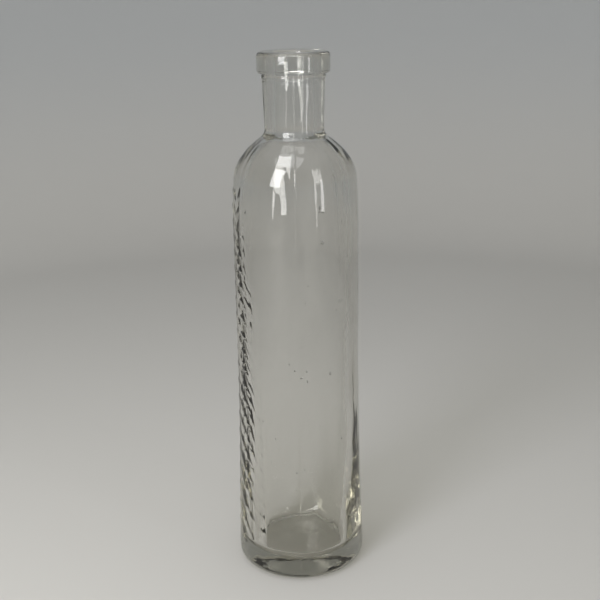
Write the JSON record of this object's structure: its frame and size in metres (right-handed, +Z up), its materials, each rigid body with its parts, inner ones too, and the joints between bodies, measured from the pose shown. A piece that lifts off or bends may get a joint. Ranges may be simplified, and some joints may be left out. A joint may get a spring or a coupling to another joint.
{
  "type": "antique glass bottle",
  "caption": "Tall round clear glass bottle with thick walls, domed shoulder, straight neck, flat banded lip and a raised leaf frond down one side.",
  "frame": {"origin": "centre of the resting ring, on the surface that the bottle stands on", "axes": "+Z up along the bottle's axis, -X beside the raised frond, whose middle is 9 degrees towards -Y, and -Y and +Y through the two mould seams"},
  "size_m": [0.0554, 0.0554, 0.22],
  "materials": {
    "clear_glass": "clear soda-lime glass with a faint grey-olive tint, thick walls, fine vertical waves and a few seed bubbles"
  },
  "bodies": {
    "root": {"base": "clear_glass", "body_wall": "clear_glass", "shoulder": "clear_glass", "neck": "clear_glass", "lip": "clear_glass"}
  },
  "joints": []
}
